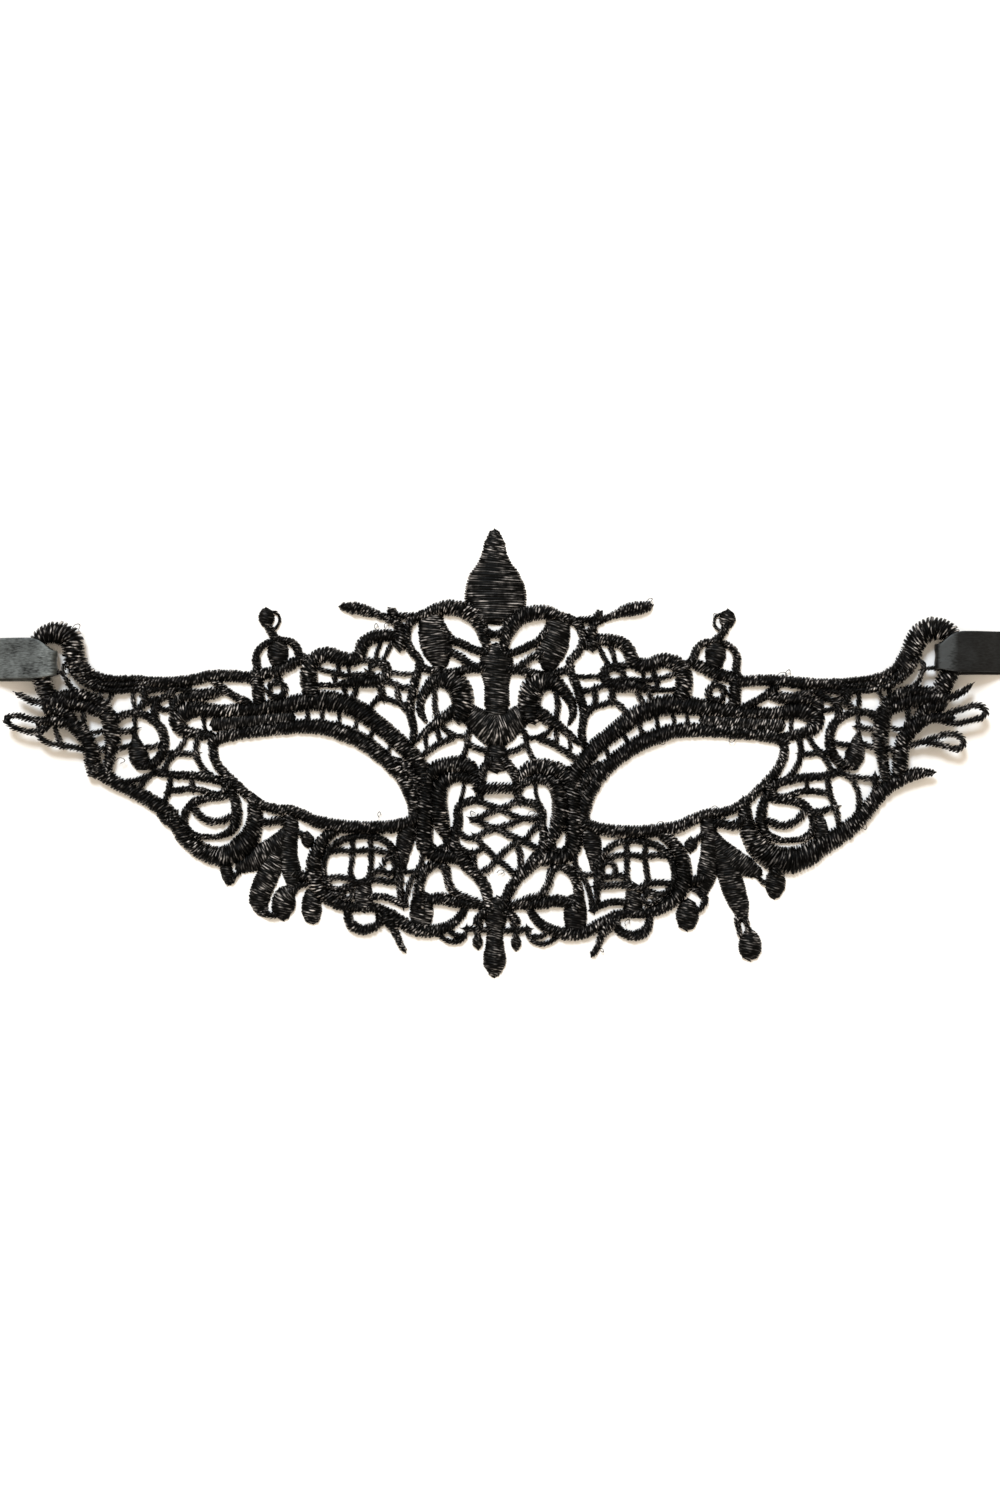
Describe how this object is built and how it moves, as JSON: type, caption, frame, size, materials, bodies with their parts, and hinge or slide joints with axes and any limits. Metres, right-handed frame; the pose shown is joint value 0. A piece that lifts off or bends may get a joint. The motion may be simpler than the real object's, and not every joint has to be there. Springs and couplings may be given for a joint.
{
  "type": "lace half mask",
  "caption": "Black embroidered lace half mask with scrolled openwork, two eye openings, a pointed crest and a satin ribbon folded through the loop at each end.",
  "frame": {"origin": "centre of the outline, on the surface that the mask lies on", "axes": "+X to the right of the mask seen from its front, +Y towards the forehead crest, +Z out of the front face"},
  "size_m": [0.2522, 0.1086, 0.0064],
  "materials": {
    "lace_thread": "black embroidery thread with a slight sheen",
    "ribbon_satin": "dark slate satin"
  },
  "bodies": {
    "root": {"lace_panel": "lace_thread", "ribbon_right": "ribbon_satin", "ribbon_left": "ribbon_satin"}
  },
  "joints": []
}
